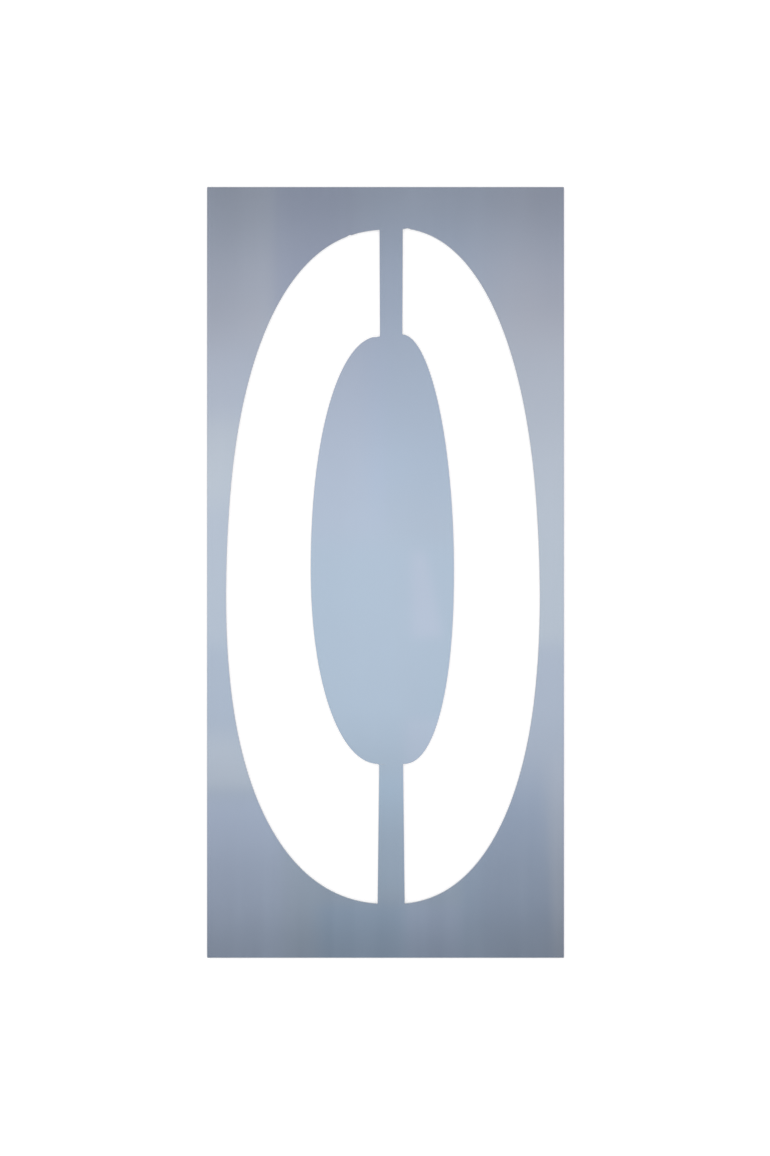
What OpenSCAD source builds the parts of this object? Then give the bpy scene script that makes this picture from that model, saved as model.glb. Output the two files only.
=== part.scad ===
// Stencil for the numeral 0, cut through one flat sheet of thin metal, in millimetres.
// The sheet lies flat as it does in use. X runs across it and Y runs towards the numeral's crown.
// Z points up out of the face that is painted over. The origin is at the middle of the underside.
// Two crescent windows make the numeral. The metal between them is the island, held by two ties.

/* [Sheet] */
// Thickness of the sheet
sheet_t = 1; // [0.5:0.1:3]
// Metal left between the numeral and the sheet's left edge
margin_left = 8.7; // [5:0.1:60]
// Metal left between the numeral and the sheet's right edge
margin_right = 11; // [5:0.1:60]
// Metal left between the numeral and the sheet's upper edge
margin_top = 18.1; // [5:0.1:80]
// Metal left between the numeral and the sheet's lower edge
margin_bottom = 23.9; // [5:0.1:80]
// Radius that takes the sting off the sheet's four outer corners
sheet_corner_r = 0.4; // [0.1:0.1:10]

/* [Numeral] */
// Height of the numeral, from its foot to its crown
numeral_h = 300; // [240:1:400]
// Width of the numeral at its widest line
numeral_w = 138.7; // [120:0.1:200]
// Distance from the numeral's left side to its crown and foot, where the ties stand
crown_x = 73; // [58:0.1:76]
// Height of the numeral's widest line above its foot
waist_y = 135.4; // [110:0.1:160]
// How much lower the left window's crown sits than the right one's, as hand cutting leaves it
left_crown_drop = 0.8; // [0:0.1:5]
// Squareness of the numeral's upper left curve, where 2 is a plain ellipse
numeral_squareness_ul = 2.36; // [1.8:0.01:3]
// Squareness of the numeral's upper right curve
numeral_squareness_ur = 2.3; // [1.8:0.01:3]
// Squareness of the numeral's two lower curves
numeral_squareness_low = 2.31; // [1.8:0.01:3]

/* [Strokes] */
// Width of the left window at its widest line
stroke_left = 37.3; // [20:0.1:45]
// Width of the right window at its widest line
stroke_right = 37.8; // [20:0.1:45]
// Height of the windows at the crown, which is the length of the upper tie
stroke_crown = 47.3; // [25:0.1:60]
// Height of the windows at the foot, which is the length of the lower tie
stroke_foot = 62.1; // [25:0.1:75]

/* [Island] */
// Height of the island's widest line above the numeral's foot
island_waist_y = 148.6; // [120:0.1:170]
// Squareness of the island's upper left curve
island_squareness_ul = 2.11; // [1.8:0.01:3]
// Squareness of the island's upper right curve
island_squareness_ur = 1.95; // [1.8:0.01:3]
// Squareness of the island's lower left curve
island_squareness_ll = 2.1; // [1.8:0.01:3]
// Squareness of the island's lower right curve
island_squareness_lr = 2.24; // [1.8:0.01:3]

/* [Ties] */
// Width of the upper tie where it leaves the border
upper_tie_border_w = 10.4; // [6:0.1:16]
// Width of the upper tie where it meets the island
upper_tie_island_w = 10; // [6:0.1:16]
// Width of the lower tie where it leaves the border
lower_tie_border_w = 12.1; // [6:0.1:16]
// Width of the lower tie where it meets the island
lower_tie_island_w = 10.7; // [6:0.1:16]
// Radius that the cutter leaves in the four corners of each window
window_corner_r = 0.4; // [0.1:0.05:0.6]

/* [Hidden] */

// Straight steps along one quarter of a curve, and along one rounded corner
quarter_steps = 48;
corner_steps = 6;
// A point of an outline is a corner when the outline turns there by more than this angle
corner_turn = 40;

sheet_w = margin_left + numeral_w + margin_right;
sheet_l = margin_bottom + numeral_h + margin_top;

// The numeral's box on the sheet, and the line that its crown, foot and ties share
numeral_left = margin_left - sheet_w / 2;
numeral_right = numeral_left + numeral_w;
numeral_foot = margin_bottom - sheet_l / 2;
numeral_crown = numeral_foot + numeral_h;
tie_x = numeral_left + crown_x;
numeral_waist = numeral_foot + waist_y;

// The island's box
island_left = numeral_left + stroke_left;
island_right = numeral_right - stroke_right;
island_foot = numeral_foot + stroke_foot;
island_crown = numeral_crown - stroke_crown;
island_waist = numeral_foot + island_waist_y;

function unit(v) = v / norm(v);

// One quarter of a squared oval, from the point that lies start_reach beside its apex round to its side
function quarter(apex, side, squareness, start_reach) =
    let (
        start = asin(pow(start_reach / abs(side.x - apex.x), squareness / 2)),
        step = (90 - start) / quarter_steps
    )
    [
        for (i = [0 : quarter_steps])
            [
                apex.x + (side.x - apex.x) * pow(sin(start + step * i), 2 / squareness),
                side.y + (apex.y - side.y) * pow(cos(start + step * i), 2 / squareness)
            ]
    ];

// The same quarter walked the other way, without its first point, which the quarter before it ends on
function quarter_back(apex, side, squareness, start_reach) =
    let (points = quarter(apex, side, squareness, start_reach))
    [for (i = [quarter_steps - 1 : -1 : 0]) points[i]];

// The arc of radius r that touches both lines of a corner. The vectors point back and ahead along the outline.
function corner_arc(corner, back, ahead, r) =
    let (
        turn = 180 - acos(back * ahead),
        centre = corner + unit(back + ahead) * r / cos(turn / 2),
        first = corner + back * r * tan(turn / 2) - centre,
        sweep = cross(ahead, back) > 0 ? turn : -turn
    )
    [
        for (i = [0 : corner_steps])
            let (angle = atan2(first.y, first.x) + sweep * i / corner_steps)
            centre + r * [cos(angle), sin(angle)]
    ];

// An outline with an arc of radius r in place of each corner
function eased(outline, r) =
    let (count = len(outline))
    [
        for (i = [0 : count - 1])
            let (
                back = unit(outline[(i + count - 1) % count] - outline[i]),
                ahead = unit(outline[(i + 1) % count] - outline[i])
            )
            each back * ahead > -cos(corner_turn) ? corner_arc(outline[i], back, ahead, r) : [outline[i]]
    ];

// Outline of one window: up the numeral's side from foot to crown, then down the island's side.
// The island's curves start at the ties' own edges, so its crown and foot are flat across them.
function window_outline(side, island_side, crown_drop, upper, island_upper, island_lower) =
    let (
        toward = sign(side - tie_x),
        foot = [tie_x, numeral_foot],
        crown = [tie_x, numeral_crown - crown_drop],
        waist = [side, numeral_waist],
        inner_crown = [tie_x + toward * upper_tie_island_w / 2, island_crown - crown_drop],
        inner_foot = [tie_x + toward * lower_tie_island_w / 2, island_foot],
        inner_waist = [island_side, island_waist]
    )
    concat(
        quarter(foot, waist, numeral_squareness_low, lower_tie_border_w / 2),
        quarter_back(crown, waist, upper, upper_tie_border_w / 2),
        quarter(inner_crown, inner_waist, island_upper, 0),
        quarter_back(inner_foot, inner_waist, island_lower, 0)
    );

left_window = window_outline(
    numeral_left, island_left, left_crown_drop,
    numeral_squareness_ul, island_squareness_ul, island_squareness_ll
);
right_window = window_outline(
    numeral_right, island_right, 0,
    numeral_squareness_ur, island_squareness_ur, island_squareness_lr
);
sheet_edge = [
    [-sheet_w / 2, -sheet_l / 2],
    [sheet_w / 2, -sheet_l / 2],
    [sheet_w / 2, sheet_l / 2],
    [-sheet_w / 2, sheet_l / 2]
];

module stencil_plate() {
    color("lightsteelblue")
        linear_extrude(sheet_t)
            difference() {
                polygon(eased(sheet_edge, sheet_corner_r));
                polygon(eased(left_window, window_corner_r));
                polygon(eased(right_window, window_corner_r));
            }
}

stencil_plate();
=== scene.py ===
import bpy
import math
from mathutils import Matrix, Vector


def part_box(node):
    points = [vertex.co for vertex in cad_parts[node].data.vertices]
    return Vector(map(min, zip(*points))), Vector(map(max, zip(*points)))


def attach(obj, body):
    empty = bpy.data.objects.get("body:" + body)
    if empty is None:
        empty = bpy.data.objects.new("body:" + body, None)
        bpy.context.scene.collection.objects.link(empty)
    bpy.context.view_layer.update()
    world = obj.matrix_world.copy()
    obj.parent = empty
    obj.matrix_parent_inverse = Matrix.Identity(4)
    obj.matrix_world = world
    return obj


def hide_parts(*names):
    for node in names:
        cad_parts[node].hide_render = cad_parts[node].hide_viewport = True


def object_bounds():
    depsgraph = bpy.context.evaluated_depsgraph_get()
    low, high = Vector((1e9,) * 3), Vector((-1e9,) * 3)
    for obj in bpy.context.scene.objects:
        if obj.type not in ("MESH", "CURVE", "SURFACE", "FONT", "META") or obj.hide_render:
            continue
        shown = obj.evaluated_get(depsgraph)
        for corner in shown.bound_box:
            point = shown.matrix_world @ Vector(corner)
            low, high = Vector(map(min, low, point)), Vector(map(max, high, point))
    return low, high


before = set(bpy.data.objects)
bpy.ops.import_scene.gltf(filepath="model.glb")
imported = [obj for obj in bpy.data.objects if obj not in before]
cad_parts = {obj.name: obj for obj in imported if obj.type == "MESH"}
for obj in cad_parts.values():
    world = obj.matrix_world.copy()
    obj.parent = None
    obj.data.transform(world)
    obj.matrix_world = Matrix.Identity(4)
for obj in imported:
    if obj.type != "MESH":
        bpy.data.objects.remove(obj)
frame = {"nodes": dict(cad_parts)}
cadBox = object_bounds()
mm = 0.001
print("frame loaded:", ", ".join(frame["nodes"]))


# A wire is a node's socket that takes part in plain sums
class Wire:
    def __init__(self, finish, socket):
        self.finish = finish
        self.socket = socket

    def work(self, operation, first, second):
        return self.finish.node("ShaderNodeMath", {"operation": operation}, {0: first, 1: second})

    def __add__(self, other):
        return self.work("ADD", self, other)

    def __radd__(self, other):
        return self.work("ADD", other, self)

    def __sub__(self, other):
        return self.work("SUBTRACT", self, other)

    def __rsub__(self, other):
        return self.work("SUBTRACT", other, self)

    def __mul__(self, other):
        return self.work("MULTIPLY", self, other)

    def __rmul__(self, other):
        return self.work("MULTIPLY", other, self)

    def __truediv__(self, other):
        return self.work("DIVIDE", self, other)

    def __rtruediv__(self, other):
        return self.work("DIVIDE", other, self)


noiseRoughness = 0.55      # how strong the finer layers of every noise are


# A finish holds the nodes of one material, or of the sky
class Finish:
    def __init__(self, owner):
        owner.use_nodes = True
        self.owner = owner
        self.tree = owner.node_tree
        self.tree.nodes.clear()

    def node(self, kind, settings=None, sockets=None, output=0):
        made = self.tree.nodes.new(kind)
        for name, value in (settings or {}).items():
            if name == "stops":
                self.setStops(made.color_ramp, value)
            else:
                setattr(made, name, value)
        for name, value in (sockets or {}).items():
            if isinstance(value, Wire):
                self.tree.links.new(value.socket, made.inputs[name])
            else:
                made.inputs[name].default_value = value
        return Wire(self, made.outputs[output]) if made.outputs else None

    def setStops(self, ramp, stops):
        ramp.interpolation = "CARDINAL" if len(stops) > 2 else "LINEAR"
        for stop in stops[2:]:
            ramp.elements.new(stop[0])
        for element, (place, shade) in zip(ramp.elements, stops):
            element.position = place
            element.color = (shade, shade, shade, 1)

    def pattern(self, scale, stretch, detail, shift):
        # noise on the piece's own coordinates, from -0.5 to 0.5
        at = self.node("ShaderNodeTexCoord", output="Object")
        placed = self.node("ShaderNodeMapping", {"vector_type": "POINT"}, {
            "Vector": at, "Scale": stretch, "Location": shift})
        return self.noise(placed, scale, detail) - 0.5

    def noise(self, at, scale, detail):
        return self.node("ShaderNodeTexNoise", {"noise_dimensions": "3D"}, {
            "Vector": at, "Scale": scale, "Detail": detail, "Roughness": noiseRoughness})

    def ramp(self, value, *stops):
        return self.node("ShaderNodeValToRGB", {"stops": stops}, {"Fac": value})

    def edge(self, value, where, falling=False):
        # a soft step at a place, with a softness to either side of it. None lets everything through
        if where is None:
            return 1
        place, softness = where
        start, end = (1, 0) if falling else (0, 1)
        return self.node("ShaderNodeMapRange", {"interpolation_type": "SMOOTHSTEP"}, {
            "Value": value, "From Min": place - softness, "From Max": place + softness,
            "To Min": start, "To Max": end})

    def tint(self, tone, shade):
        return self.node("ShaderNodeMix", {"data_type": "RGBA", "blend_type": "MULTIPLY"}, {
            "Factor": 1, 6: tone, 7: shade}, 2)

    def bump(self, height, depth, under=None):
        sockets = {"Height": height, "Distance": depth, "Strength": 1}
        if under:
            sockets["Normal"] = under
        return self.node("ShaderNodeBump", sockets=sockets)


# The sheet's rolled faces: smooth blue-grey metal. Half of the light is mirrored cleanly by its polish,
# and the rest is scattered by the faint grain and streaks that run down its length
rolledFace = {
    "tone": (0.445, 0.54, 0.66, 1),
    "polishRoughness": 0.04,
    "satinRoughness": 0.24,
    "satinShare": 0.5,
    # patterns: scale to the metre, stretch, detail and shift
    "patterns": {
        "grain": (2600, (1, 0.012, 1), 3, (0, 0, 0)),
        "streaks": (420, (1, 0.02, 1), 3, (0.4, 0.6, 0)),
        "bands": (46, (1, 0.09, 1), 2, (0.3, 0.1, 0)),
        "clouds": (13, (1, 0.6, 1), 4, (0, 0, 0)),
        "smudges": (38, (1, 1, 1), 5, (0.7, 0.2, 0)),
        "wave": (8, (1, 0.55, 1), 1, (0.12, 0.4, 0)),
    },
    # how far the patterns shift the tone, the roughness of each layer and the satin's share
    "toneShifts": {"grain": 0.03, "streaks": 0.025, "bands": 0.05, "clouds": 0.05},
    "polishShifts": {"clouds": 0.02},
    "satinShifts": {"streaks": 0.05, "bands": 0.08},
    "shareShifts": {"streaks": 0.04, "bands": 0.12, "clouds": 0.2, "smudges": 0.2},
    "waveHeight": 0.05 * mm,
    "grainHeight": 0.003 * mm,
    "streakRise": 2,          # how much higher the streaks stand than the grain
}


def rolledSheet():
    f = Finish(bpy.data.materials.new("rolled_sheet"))
    g = rolledFace
    patterns = {name: f.pattern(*shape) for name, shape in g["patterns"].items()}

    def shifted(start, shifts):
        return sum((patterns[name] * amount for name, amount in shifts.items()), start)

    tone = f.tint(g["tone"], shifted(1, g["toneShifts"]))
    waved = f.bump(patterns["wave"], g["waveHeight"])
    grained = f.bump(patterns["grain"] + patterns["streaks"] * g["streakRise"], g["grainHeight"], waved)
    polish = f.node("ShaderNodeBsdfPrincipled", sockets={
        "Base Color": tone, "Metallic": 1, "Normal": waved,
        "Roughness": shifted(g["polishRoughness"], g["polishShifts"])})
    satin = f.node("ShaderNodeBsdfPrincipled", sockets={
        "Base Color": tone, "Metallic": 1, "Normal": grained,
        "Roughness": shifted(g["satinRoughness"], g["satinShifts"])})
    both = f.node("ShaderNodeMixShader", sockets={
        0: shifted(g["satinShare"], g["shareShifts"]), 1: polish, 2: satin})
    f.node("ShaderNodeOutputMaterial", sockets={"Surface": both})
    return f.owner


# The cut edges: duller metal with the cutter's upright strokes
cutEdge = {
    "tone": (0.54, 0.57, 0.61, 1),
    "roughness": 0.42,
    "strokes": (4200, (1, 1, 0.08), 3, (0, 0, 0)),
    "patches": (260, (1, 1, 1), 2, (0, 0, 0)),
    "strokeShift": 0.2,
    "patchShift": 0.12,
    "roughnessShift": 0.2,
    "strokeHeight": 0.02 * mm,
}


def cutMetal():
    f = Finish(bpy.data.materials.new("cut_edge"))
    g = cutEdge
    strokes = f.pattern(*g["strokes"])
    patches = f.pattern(*g["patches"])
    shader = f.node("ShaderNodeBsdfPrincipled", sockets={
        "Base Color": f.tint(g["tone"], 1 + strokes * g["strokeShift"] + patches * g["patchShift"]),
        "Metallic": 1,
        "Roughness": g["roughness"] + patches * g["roughnessShift"],
        "Normal": f.bump(strokes, g["strokeHeight"])})
    f.node("ShaderNodeOutputMaterial", sockets={"Surface": shader})
    return f.owner


# The sheet. Its outlines are given in millimetres from the middle of the underside, as the frame has them
sheet = {
    "node": "stencil_plate",
    "cornerRadius": 0.4,
    "cornerSteps": 6,         # straight steps round a corner
    "edgeBreak": 0.1,         # how far its sharp edges are broken
    "edgeRounding": 1,
    "step": 0.7,              # spacing of the points along a cut
    "quarterSteps": 400,      # how finely a quarter of a curve is worked out before it is spaced
    "weld": 0.0005,           # points nearer than this become one
    "smoothAngle": 40,        # edges sharper than this stay sharp, in degrees
    "flatFrom": 0.99,         # the least upright normal of a flat face
}
numeral = {
    "foot": -147.1,
    "waist": -11.7,           # its widest line
    "tie": 2.5,               # the line that crown, foot and ties share
    "lowSquareness": 2.31,    # 2 is a plain ellipse
    "upperTie": (10.4, 10.0),  # width at the border, width at the island
    "lowerTie": (12.1, 10.7),
    "islandFoot": -85.0,
    "islandWaist": 1.5,
}
# marks are places where the cut strays from its curve: x, y, how far across, how far up, and its reach
leftWindow = {
    "side": -70.5,
    "crown": 152.1,
    "squareness": 2.36,
    "islandSide": -33.2,
    "islandCrown": 104.8,
    "islandSquareness": (2.11, 2.1),   # above its waist, below it
    "corners": (0.2, 0.2, 0.2, 0.9),   # radii at foot, crown, island's crown and island's foot
    "marks": [(-16.2, 149.6, 0, 0.4, 1.3), (-15, 149.9, 0, -0.15, 0.9), (-4, 104.7, 0, -0.3, 1.6),
              (-70.5, -11, -0.28, 0, 36)],
}
rightWindow = {
    "side": 68.2,
    "crown": 152.9,
    "squareness": 2.3,
    "islandSide": 30.4,
    "islandCrown": 105.6,
    "islandSquareness": (1.95, 2.24),
    "corners": (0.2, 0.2, 0.2, 0.3),
    "marks": [(7.7, 152.8, 0, -0.4, 2.2), (9.8, 152.9, 0, 0.4, 1.5), (68.2, -11, 0.28, 0, 36)],
}


def squaredQuarter(apex, side, squareness, reach):
    # from the point that lies reach beside the apex, round to the side
    steps = sheet["quarterSteps"]
    start = math.asin((reach / abs(side.x - apex.x)) ** (squareness / 2))
    turns = [start + (math.pi / 2 - start) * i / steps for i in range(steps + 1)]
    return [Vector((apex.x + (side.x - apex.x) * math.sin(turn) ** (2 / squareness),
                    side.y + (apex.y - side.y) * max(math.cos(turn), 0) ** (2 / squareness)))
            for turn in turns]


def evenly(points, step):
    # the same run of points at even spacing, ends kept
    gaps = [(b - a).length for a, b in zip(points, points[1:])]
    count = max(2, round(sum(gaps) / step))
    wanted = [sum(gaps) * i / count for i in range(count)]
    spaced, gone, at = [], 0, 0
    for place in wanted:
        while gone + gaps[at] < place:
            gone += gaps[at]
            at += 1
        spaced.append(points[at].lerp(points[at + 1], (place - gone) / gaps[at]))
    return spaced + [points[-1]]


def roundCorner(corner, before, after, radius):
    steps = sheet["cornerSteps"]
    back = (before - corner).normalized()
    ahead = (after - corner).normalized()
    turn = math.pi - back.angle(ahead)
    reach = radius * math.tan(turn / 2)
    centre = corner + (back + ahead).normalized() * radius / math.cos(turn / 2)
    first = corner + back * reach - centre
    sweep = turn if back.cross(ahead) < 0 else -turn
    arc = []
    for i in range(steps + 1):
        angle = sweep * i / steps
        spun = Vector((first.x * math.cos(angle) - first.y * math.sin(angle),
                       first.x * math.sin(angle) + first.y * math.cos(angle)))
        arc.append(centre + spun)
    return arc


def windowOutline(window):
    n = numeral
    toward = 1 if window["side"] > n["tie"] else -1

    def tieEdge(width):
        return n["tie"] + toward * width / 2

    aboveWaist, belowWaist = window["islandSquareness"]
    foot = Vector((n["tie"], n["foot"]))
    crown = Vector((n["tie"], window["crown"]))
    waist = Vector((window["side"], n["waist"]))
    islandCrown = Vector((tieEdge(n["upperTie"][1]), window["islandCrown"]))
    islandFoot = Vector((tieEdge(n["lowerTie"][1]), n["islandFoot"]))
    islandWaist = Vector((window["islandSide"], n["islandWaist"]))
    runs = [
        squaredQuarter(foot, waist, n["lowSquareness"], n["lowerTie"][0] / 2)
        + squaredQuarter(crown, waist, window["squareness"], n["upperTie"][0] / 2)[-2::-1],
        squaredQuarter(islandCrown, islandWaist, aboveWaist, 0)
        + squaredQuarter(islandFoot, islandWaist, belowWaist, 0)[-2::-1],
    ]
    runs = [evenly(run, sheet["step"]) for run in runs]
    for run in runs:
        for i, point in enumerate(run):
            for x, y, strayX, strayY, reach in window["marks"]:
                nearness = max(0, 1 - (point - Vector((x, y))).length / reach)
                run[i] = run[i] + Vector((strayX, strayY)) * nearness
    outer, inner = runs
    footRadius, crownRadius, islandCrownRadius, islandFootRadius = window["corners"]
    return (roundCorner(outer[0], inner[-1], outer[1], footRadius) + outer[1:-1]
            + roundCorner(outer[-1], outer[-2], inner[0], crownRadius)
            + roundCorner(inner[0], outer[-1], inner[1], islandCrownRadius) + inner[1:-1]
            + roundCorner(inner[-1], inner[-2], outer[0], islandFootRadius))


def sheetOutline():
    low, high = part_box(sheet["node"])
    ends = [Vector((x / mm, y / mm)) for x, y in
            ((low[0], low[1]), (high[0], low[1]), (high[0], high[1]), (low[0], high[1]))]
    outline = []
    for i, corner in enumerate(ends):
        outline += roundCorner(corner, ends[i - 1], ends[(i + 1) % len(ends)], sheet["cornerRadius"])
    return outline


def makeSheet():
    low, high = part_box(sheet["node"])
    outlines = [sheetOutline(), windowOutline(leftWindow), windowOutline(rightWindow)]
    bpy.ops.object.select_all(action="DESELECT")
    bpy.ops.curve.primitive_bezier_circle_add(radius=high[1], location=(0, 0, (low[2] + high[2]) / 2))
    piece = bpy.context.active_object
    piece.name = "stencil_sheet"
    cut = piece.data
    cut.splines.clear()        # the outlines take the circle's place
    for outline in outlines:
        spline = cut.splines.new("POLY")
        spline.points.add(len(outline) - 1)
        for place, point in zip(spline.points, outline):
            place.co = (point.x * mm, point.y * mm, 0, 1)
        spline.use_cyclic_u = True
    cut.dimensions = "2D"
    cut.fill_mode = "BOTH"
    cut.extrude = (high[2] - low[2]) / 2 - sheet["edgeBreak"] * mm
    cut.bevel_depth = sheet["edgeBreak"] * mm
    cut.bevel_resolution = sheet["edgeRounding"]
    cut.offset = -sheet["edgeBreak"] * mm      # the broken edge stays inside the outline
    bpy.ops.object.convert(target="MESH")
    bpy.ops.object.transform_apply(location=True, rotation=True, scale=True)
    bpy.ops.object.mode_set(mode="EDIT")
    bpy.ops.mesh.select_all(action="SELECT")
    bpy.ops.mesh.remove_doubles(threshold=sheet["weld"] * mm)
    bpy.ops.mesh.normals_make_consistent(inside=False)
    bpy.ops.object.mode_set(mode="OBJECT")
    bpy.ops.object.shade_smooth_by_angle(angle=math.radians(sheet["smoothAngle"]))
    piece.data.materials.clear()
    piece.data.materials.append(rolledSheet())
    piece.data.materials.append(cutMetal())
    for face in piece.data.polygons:
        flat = abs(face.normal.z) > sheet["flatFrom"]
        face.material_index = 0 if flat else 1
        face.use_smooth = not flat
    print("sheet:", len(piece.data.vertices), "points,", len(piece.data.polygons), "faces")
    return piece


plate = makeSheet()
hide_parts(sheet["node"])
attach(plate, "root")


# The camera looks straight down at the sheet's face
shot = {
    "distance": 0.7,
    "frameHeight": 512.75 * mm,      # what the picture's height spans at the sheet's face
    "middle": (-0.235 * mm, -2.47 * mm),
    "sensor": 36,
}


def makeCamera():
    data = bpy.data.cameras.new("camera")
    data.sensor_width = shot["sensor"]
    data.lens = shot["sensor"] * shot["distance"] / shot["frameHeight"]
    camera = bpy.data.objects.new("camera", data)
    bpy.context.scene.collection.objects.link(camera)
    camera.location = (*shot["middle"], cadBox[1].z + shot["distance"])
    bpy.context.scene.camera = camera


# The floor: pale, with the object's own shadow left on it
ground = {
    "size": 12,
    "drop": 0.05 * mm,
    "tone": (0.9, 0.9, 0.9, 1),
    "lift": 0.38,              # keeps what is seen of it white
}


def makeFloor():
    bpy.ops.object.select_all(action="DESELECT")
    bpy.ops.mesh.primitive_plane_add(size=ground["size"], location=(0, 0, -ground["drop"]))
    floor = bpy.context.active_object
    floor.name = "floor"
    f = Finish(bpy.data.materials.new("floor"))
    seen = sum(f.node("ShaderNodeLightPath", output=ray)
               for ray in ("Is Camera Ray", "Is Glossy Ray", "Is Transmission Ray"))
    matt = f.node("ShaderNodeBsdfDiffuse", sockets={"Color": ground["tone"]})
    lift = f.node("ShaderNodeEmission", sockets={"Color": (1, 1, 1, 1), "Strength": seen * ground["lift"]})
    lifted = f.node("ShaderNodeAddShader", sockets={0: matt, 1: lift})
    f.node("ShaderNodeOutputMaterial", sockets={"Surface": lifted})
    floor.data.materials.append(f.owner)


# The studio's soft sky. What stands overhead is placed where the sheet mirrors it to the camera,
# in millimetres on the sheet
sky = {
    # brightness of the walls, from the horizon at 0 to straight overhead at 1
    "walls": [(0.06, 1.0), (0.2, 0.98), (0.34, 0.74), (0.5, 0.62), (0.7, 0.76), (0.86, 0.7)],
    "wallTop": (0.9, 0.04),
    # soft panels stand round the floor, lighter than the walls. Each edge has a place and a softness
    "wallPanels": 4,
    "wallPanelGlow": 0.24,
    "wallPanelSide": (0.08, 0.17),
    "wallPanelFoot": (0.15, 0.05),
    "wallPanelTop": (0.58, 0.04),
    "wallTurn": 22,           # how far clockwise from the crown the first of them stands
    "wallClouds": 1.1,        # how far soft clouds shift the walls' brightness
    "wallCloudScale": 2.6,
    "wallCloudDetail": 1,
    "wallCloudFoot": (0.13, 0.07),
    "reach": 300,             # half the run that the stops cover, along the sheet
    # place along the sheet and brightness there
    "overhead": [
        (-300, 0.71), (-240, 0.59), (-200, 0.43), (-171, 0.29), (-150, 0.47), (-125, 0.61), (-100, 0.78),
        (-60, 1.0), (-20, 1.025), (20, 1.007), (60, 0.914), (110, 0.74), (140, 0.628), (171, 0.433),
        (200, 0.49), (240, 0.59), (300, 0.71),
    ],
    # soft panels: left, right, low and high edge, each with its softness, then the right edge's lean,
    # and the red, green and blue that the panel adds
    "panels": [
        (None, None, (60, 80), None, 0, (0.09, 0.03, 0.06)),                           # towards the crown
        (None, (-45, 14), (-32, 6), (130, 30), 0, (0.12, 0.05, 0.01)),                 # left border
        ((45, 14), None, (-32, 6), (130, 30), 0, (0.15, 0.06, -0.02)),                 # right border
        (None, (-40, 8), None, (-34, 6), 0, (-0.04, -0.07, -0.06)),                    # left border, low
        ((40, 8), None, None, (-32, 6), 0, (-0.05, -0.1, -0.09)),                      # right border, low
        (None, (-58, 4), (30, 10), (68, 8), 0, (0.15, 0.12, 0.04)),                    # left border, middle
        (None, (-45, 6), (-96, 3), (-72, 8), 0, (0.27, 0.2, 0.12)),                    # bright patch in it
        ((-45, 14), (0.2, 1.2), (14, 8), (108, 8), 0, (0.04, 0.02, 0.04)),             # island, left
        ((-8, 6), (34, 10), (30, 20), (160, 20), 0, (-0.06, -0.01, 0.02)),             # island, upper tie
        ((-20, 10), (12, 10), (-75, 20), (70, 20), 0, (0.04, 0.04, 0.04)),             # island, middle
        ((-45, 12), (45, 12), (-110, 12), (14, 8), 0, (0.01, 0.05, 0.06)),             # island, lower half
        ((11.3, 1.6), (21.2, 1.8), (-29, 2), (9, 4), -0.2, (0.19, 0.07, 0.08)),        # island, right
        ((9, 1.5), (40, 3), (-100, 5), (-65, 2), 0, (0.17, 0.08, 0.09)),               # island, low right
        (None, (-49, 3), (100, 12), None, 0, (-0.1, -0.12, -0.14)),                    # upper left corner
        ((-62, 14), (-49, 3), (100, 12), None, 0, (0.2, 0.16, 0.12)),                  # beside it
        ((-49, 3), (-16, 14), (112, 12), None, 0, (-0.2, -0.21, -0.15)),               # on to the upper tie
        ((50, 10), None, (100, 12), None, 0, (0.03, -0.02, -0.04)),                    # upper right corner
        ((68, 3), None, (108, 12), None, 0, (-0.09, -0.08, -0.06)),                    # strip in it
        (None, (-45.5, 2.5), None, (-101, 5), 0, (0.12, 0.11, 0.18)),                  # lower left corner
        ((33.5, 2), (73.8, 0.8), (-200, 4), (-92, 16), -0.07, (-0.21, -0.13, -0.03)),  # lower right corner
        ((73.8, 0.8), None, None, (-80, 12), 0, (0.14, 0.09, 0.06)),                   # strip beside it
        ((-20, 6), (30, 6), (-142, 5), (-90, 5), 0, (0.01, 0.08, 0.11)),               # lower tie
        ((-8, 4), (14, 4), (-146, 4), (-126, 8), 0, (0.1, 0.1, 0.1)),                  # its foot
        ((-30, 5), (8.6, 1.5), None, (-147, 4), 0, (-0.15, -0.02, 0.1)),               # under it, left
        ((8.6, 1.2), (33.5, 2), None, (-147, 4), 0, (0.05, 0.04, 0.17)),               # under it, right
        ((6, 2), (19, 4), None, (-147, 4), 0, (0.12, 0.12, 0.12)),                     # between these two
    ],
}


def overheadColour(f, across, along):
    # white, with what each panel adds inside its edges
    colour = (1, 1, 1)
    for left, right, low, high, lean, added in sky["panels"]:
        leaning = across - (along - (low[0] + high[0]) / 2) * lean if lean else across
        mask = (f.edge(across, left) * f.edge(leaning, right, True)
                * f.edge(along, low) * f.edge(along, high, True))
        colour = f.node("ShaderNodeVectorMath", {"operation": "MULTIPLY_ADD"}, {
            0: mask, 1: added, 2: colour})
    return colour


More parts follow.
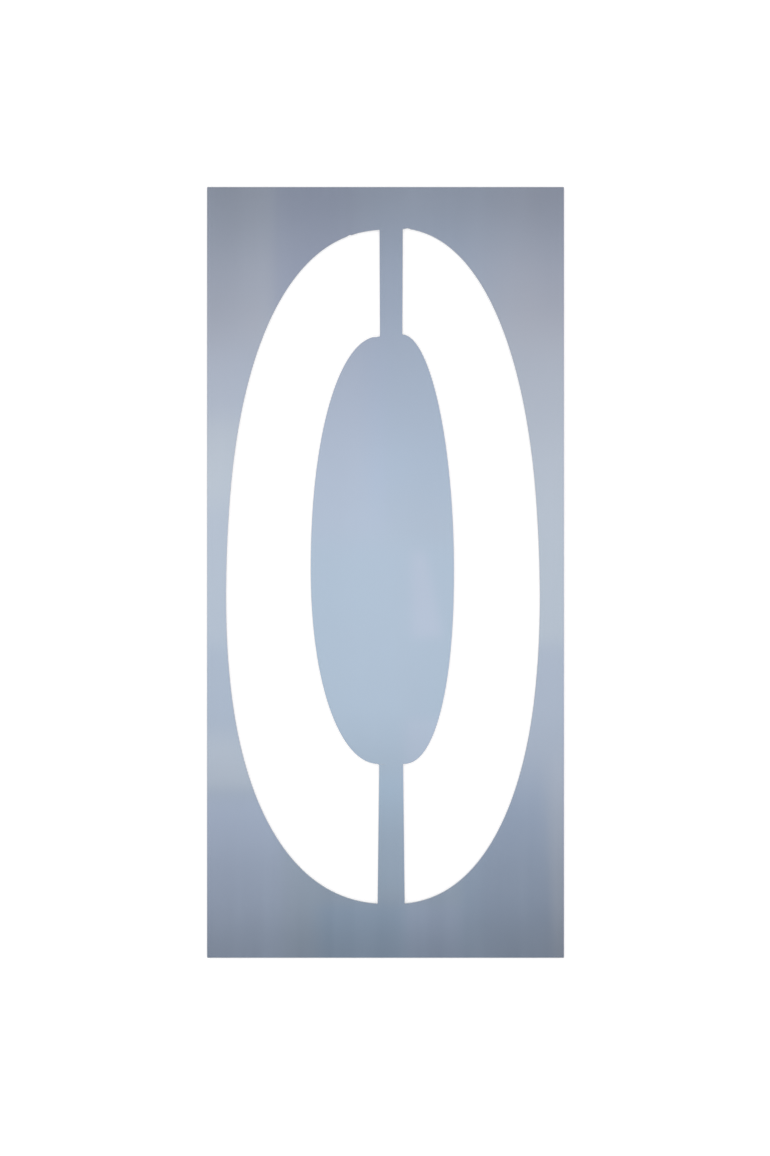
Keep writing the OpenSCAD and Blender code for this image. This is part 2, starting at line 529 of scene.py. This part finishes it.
def wallLight(f, at, x, y, z):
    compass = f.node("ShaderNodeMath", {"operation": "ARCTAN2"}, {0: x, 1: y})
    turned = (compass - math.radians(sky["wallTurn"])) * sky["wallPanels"]
    ring = f.node("ShaderNodeMath", {"operation": "COSINE"}, {0: turned})
    panel = (f.edge(ring, sky["wallPanelSide"]) * f.edge(z, sky["wallPanelFoot"])
             * f.edge(z, sky["wallPanelTop"], True))
    noise = f.noise(at, sky["wallCloudScale"], sky["wallCloudDetail"])
    clouds = (noise - 0.5) * f.edge(z, sky["wallCloudFoot"])
    return f.ramp(z, *sky["walls"]) + panel * sky["wallPanelGlow"] + clouds * sky["wallClouds"]


def makeSky():
    world = bpy.data.worlds.new("sky")
    bpy.context.scene.world = world
    f = Finish(world)
    at = f.node("ShaderNodeTexCoord", output="Generated")
    x, y, z = (f.node("ShaderNodeSeparateXYZ", sockets={"Vector": at}, output=axis) for axis in "XYZ")
    across = x / z * (shot["distance"] / mm) + shot["middle"][0] / mm
    along = y / z * (shot["distance"] / mm) + shot["middle"][1] / mm
    run = 2 * sky["reach"]
    stops = [(place / run + 0.5, glow) for place, glow in sky["overhead"]]
    walls = f.node("ShaderNodeBackground", sockets={
        "Color": (1, 1, 1, 1), "Strength": wallLight(f, at, x, y, z)})
    overhead = f.node("ShaderNodeBackground", sockets={
        "Color": overheadColour(f, across, along), "Strength": f.ramp(along / run + 0.5, *stops)})
    both = f.node("ShaderNodeMixShader", sockets={0: f.edge(z, sky["wallTop"]), 1: walls, 2: overhead})
    f.node("ShaderNodeOutputWorld", sockets={"Surface": both})


# One soft lamp from the upper left
lamp = {
    "place": (-1.6, 1.1, 1.9),
    "size": 1.6,
    "glow": 0.3,
}


def makeLamp():
    light = bpy.data.lights.new("key", "AREA")
    light.size = lamp["size"]
    light.energy = lamp["glow"] * math.pi * lamp["size"] ** 2      # the same glow at any size
    key = bpy.data.objects.new("key", light)
    bpy.context.scene.collection.objects.link(key)
    key.location = lamp["place"]
    key.rotation_euler = Vector(lamp["place"]).to_track_quat("Z", "Y").to_euler()
    key.visible_camera = False
    key.visible_glossy = False      # the sheet mirrors the soft sky alone


makeCamera()
makeFloor()
makeSky()
makeLamp()
bpy.context.scene.view_settings.view_transform = "Standard"
print("camera, floor, sky and lamp placed")
